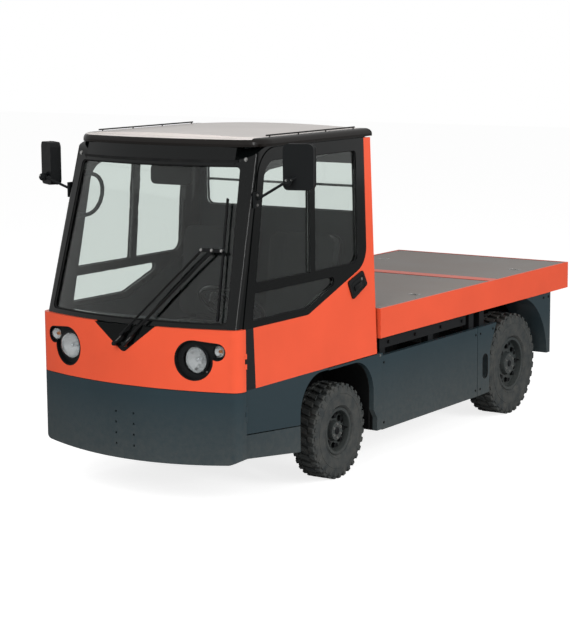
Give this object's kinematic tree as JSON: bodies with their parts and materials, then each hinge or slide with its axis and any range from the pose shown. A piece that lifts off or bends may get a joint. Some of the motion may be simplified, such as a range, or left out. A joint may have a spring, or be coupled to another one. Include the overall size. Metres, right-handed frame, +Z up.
{
  "type": "electric baggage tug",
  "caption": "Electric baggage tug with an enclosed cab, bowed front, hinged doors, flat load deck, lugged tyres and rear tow jaw.",
  "frame": {"origin": "on the ground, under the middle of the whole length and width", "axes": "+X towards the vehicle's left side, +Y towards the rear, +Z up"},
  "size_m": [1.804, 3.9092, 1.9213],
  "materials": {
    "orange_paint": "satin orange-red lacquer",
    "dark_paint": "dark grey textured lacquer",
    "black_gloss": "gloss black lacquer",
    "black_plastic": "grained black",
    "clear_lens": "clear moulded lens",
    "tinted_glass": "green tinted safety glass",
    "roof_pale": "pale grey-beige",
    "frame_black": "satin black chassis paint",
    "seat_cover": "black woven cloth",
    "deck_board": "phenolic-faced anti-slip board",
    "battery_case": "dark coating",
    "tyre_rubber": "worn rubber",
    "rim_paint": "dark grey semi-gloss",
    "red_lens": "red moulded lens",
    "steel": "bright steel"
  },
  "bodies": {
    "chassis": {"chassis_frame": "frame_black", "front_apron": "dark_paint", "front_panel": "orange_paint", "wiper_cover": "black_gloss", "lamp_bezels": "black_plastic", "headlamps": "clear_lens", "indicators": "clear_lens", "cab_frame": "black_gloss", "windscreen": "tinted_glass", "cab_rear_wall": "black_gloss", "rear_window": "tinted_glass", "roof": "black_gloss", "roof_skin": "roof_pale", "cab_floor": "black_plastic", "seats": "seat_cover", "dashboard": "black_plastic", "side_panels": "dark_paint", "wheel_arches": "black_plastic", "side_skirts": "dark_paint", "skirt_ends": "dark_paint", "rear_fenders": "dark_paint", "rear_panel": "frame_black", "tail_lamps": "red_lens", "deck_frame": "orange_paint", "deck_plates": "deck_board", "battery": "battery_case", "rear_axle": "frame_black", "front_axle": "frame_black"},
    "steering_wheel": {"steering_wheel": "black_plastic"},
    "tow_pin": {"tow_pin": "steel"},
    "wiper_arm_long": {"wiper_arm_long": "black_plastic"},
    "wiper_arm_short": {"wiper_arm_short": "black_plastic"},
    "wiper_blade": {"wiper_blade": "black_plastic"},
    "knuckle_left": {"knuckle_left": "frame_black"},
    "knuckle_right": {"knuckle_right": "frame_black"},
    "wheel_front_left": {"tyre_front_left": "tyre_rubber", "rim_front_left": "rim_paint"},
    "wheel_front_right": {"tyre_front_right": "tyre_rubber", "rim_front_right": "rim_paint"},
    "wheel_rear_left": {"tyre_rear_left": "tyre_rubber", "rim_rear_left": "rim_paint"},
    "wheel_rear_right": {"tyre_rear_right": "tyre_rubber", "rim_rear_right": "rim_paint"},
    "door_left": {"door_left_panel": "orange_paint", "door_left_frame": "black_gloss", "door_left_glass": "tinted_glass", "door_left_handle": "black_plastic", "mirror_left": "black_plastic"},
    "door_right": {"door_right_panel": "orange_paint", "door_right_frame": "black_gloss", "door_right_glass": "tinted_glass", "door_right_handle": "black_plastic", "mirror_right": "black_plastic"}
  },
  "joints": [
    {"name": "steer_left", "type": "hinge", "parent": "chassis", "child": "knuckle_left", "pos_m": [0.452, -0.8024, 0.266], "axis": [0, 0, 1], "range_deg": [-30, 30]},
    {"name": "steer_right", "type": "hinge", "parent": "chassis", "child": "knuckle_right", "pos_m": [-0.452, -0.8024, 0.266], "axis": [0, 0, 1], "range_deg": [-30, 30]},
    {"name": "steering_wheel_turn", "type": "hinge", "parent": "chassis", "child": "steering_wheel", "pos_m": [0.3, -1.3624, 1.015], "axis": [0, 0.6157, 0.788], "range_deg": [-360, 360]},
    {"name": "wheel_front_left_spin", "type": "hinge", "parent": "knuckle_left", "child": "wheel_front_left", "pos_m": [0.537, -0.8024, 0.266], "axis": [1, 0, 0], "continuous": true},
    {"name": "wheel_front_right_spin", "type": "hinge", "parent": "knuckle_right", "child": "wheel_front_right", "pos_m": [-0.537, -0.8024, 0.266], "axis": [1, 0, 0], "continuous": true},
    {"name": "wheel_rear_left_spin", "type": "hinge", "parent": "chassis", "child": "wheel_rear_left", "pos_m": [0.516, 1.2496, 0.322], "axis": [1, 0, 0], "continuous": true},
    {"name": "wheel_rear_right_spin", "type": "hinge", "parent": "chassis", "child": "wheel_rear_right", "pos_m": [-0.516, 1.2496, 0.322], "axis": [1, 0, 0], "continuous": true},
    {"name": "door_left_swing", "type": "hinge", "parent": "chassis", "child": "door_left", "pos_m": [0.644, -1.7304, 0.7], "axis": [0, 0, -1], "range_deg": [0, 75]},
    {"name": "door_right_swing", "type": "hinge", "parent": "chassis", "child": "door_right", "pos_m": [-0.644, -1.7304, 0.7], "axis": [0, 0, 1], "range_deg": [0, 75]},
    {"name": "wiper_sweep", "type": "hinge", "parent": "chassis", "child": "wiper_arm_long", "pos_m": [-0.03015, -1.94143, 0.86213], "axis": [0.143, -0.9531, 0.2669], "range_deg": [0, 80]},
    {"name": "wiper_follow", "type": "hinge", "parent": "chassis", "child": "wiper_arm_short", "pos_m": [0.02919, -1.93253, 0.86213], "axis": [0.143, -0.9531, 0.2669], "range_deg": [0, 80]},
    {"name": "wiper_blade_turn", "type": "hinge", "parent": "wiper_arm_long", "child": "wiper_blade", "pos_m": [0.40207, -1.76231, 1.35276], "axis": [0.143, -0.9531, 0.2669], "range_deg": [-80, 0]},
    {"name": "tow_pin_lift", "type": "slide", "parent": "chassis", "child": "tow_pin", "axis": [0, 0, 1], "range_m": [0, 0.14]}
  ],
  "couplings": [
    {"joint": "steer_right", "follows": "steer_left", "ratio": 1},
    {"joint": "steering_wheel_turn", "follows": "steer_left", "ratio": 12},
    {"joint": "wiper_follow", "follows": "wiper_sweep", "ratio": 1},
    {"joint": "wiper_blade_turn", "follows": "wiper_sweep", "ratio": -1}
  ]
}
